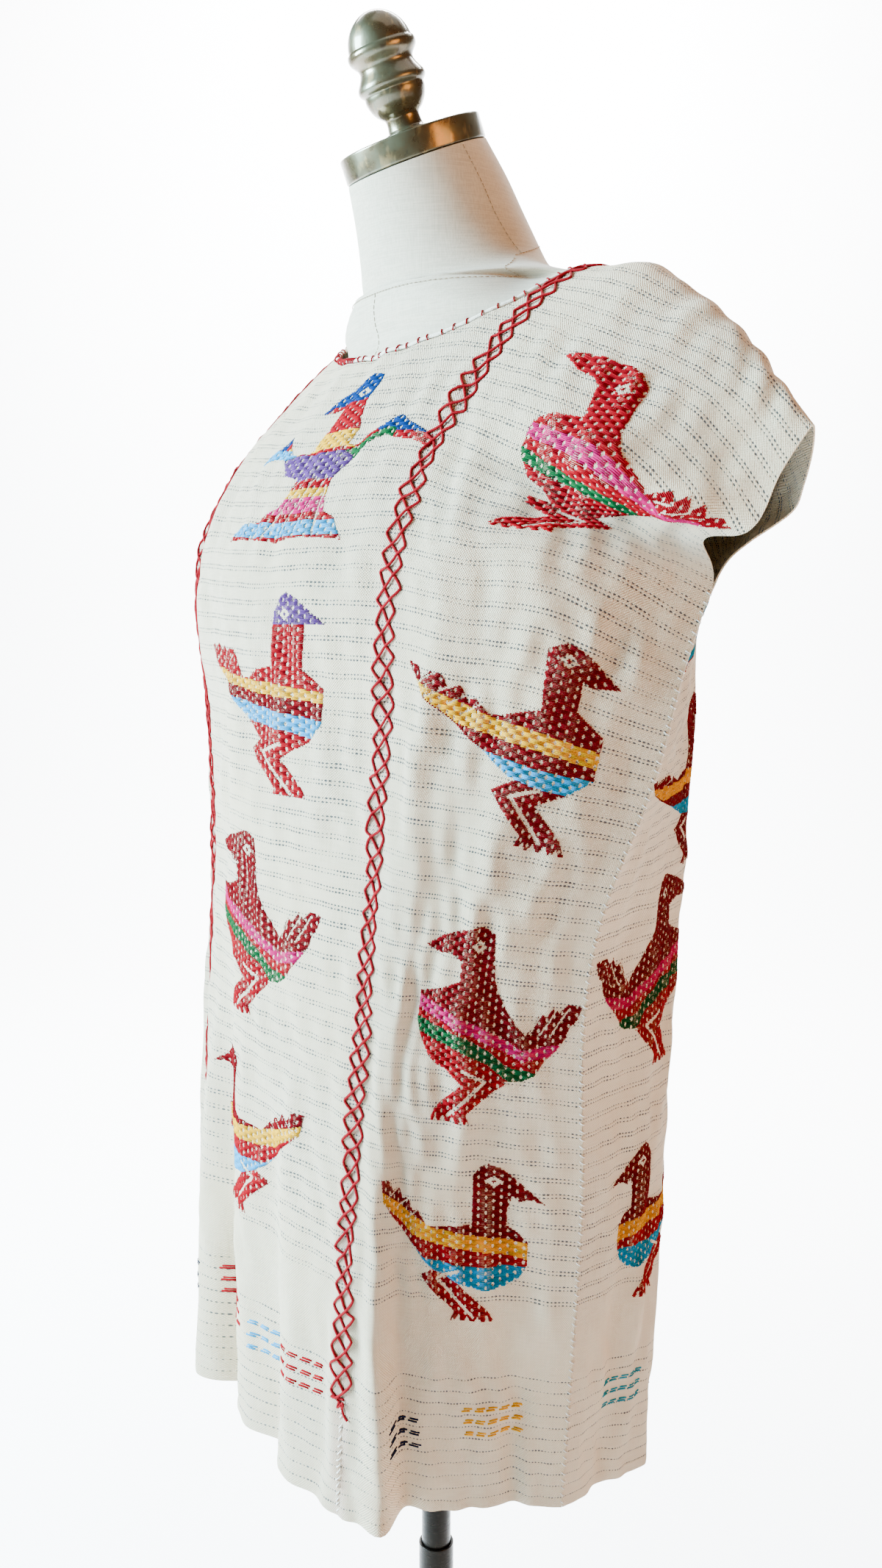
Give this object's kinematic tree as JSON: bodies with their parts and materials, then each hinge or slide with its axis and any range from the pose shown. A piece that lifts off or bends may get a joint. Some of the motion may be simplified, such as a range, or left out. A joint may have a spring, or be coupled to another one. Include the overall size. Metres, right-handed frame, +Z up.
{
  "type": "huipil blouse on a limbless dress form with a stand",
  "caption": "Handwoven three-width cotton blouse with brocaded birds and red joining stitches, worn by a limbless dress form on a telescoping pole with a round base.",
  "frame": {"origin": "centre of the base plate's underside, on the floor", "axes": "+Z up, -Y the blouse's front, +X the wearer's left"},
  "size_m": [0.6044, 0.31, 1.5288],
  "materials": {
    "cream_cotton": "handwoven cream cotton with rows of small holes, matte",
    "rolled_hem_cotton": "rolled cotton edge with red whip stitches, matte",
    "form_cover": "plain linen-coloured cover, matte",
    "aged_bronze": "dark aged bronze, lacquered and mottled",
    "dark_steel": "dark gunmetal, semi-gloss"
  },
  "bodies": {
    "stand": {"base_plate": "dark_steel", "outer_tube": "dark_steel", "clamp_knob": "dark_steel"},
    "mast": {"inner_pole": "dark_steel"},
    "form": {"form_flange": "dark_steel", "form_body": "form_cover", "neck_cap": "aged_bronze", "finial": "aged_bronze", "front_middle_width": "cream_cotton", "back_middle_width": "cream_cotton", "side_width_left": "cream_cotton", "side_width_right": "cream_cotton", "neck_hem_front": "rolled_hem_cotton", "neck_hem_back": "rolled_hem_cotton"}
  },
  "joints": [
    {"name": "height_slide", "type": "slide", "parent": "stand", "child": "mast", "axis": [0, 0, 1], "range_m": [-0.15, 0.15]},
    {"name": "form_swivel", "type": "hinge", "parent": "mast", "child": "form", "pos_m": [0, 0, 0.732], "axis": [0, 0, 1], "continuous": true}
  ]
}
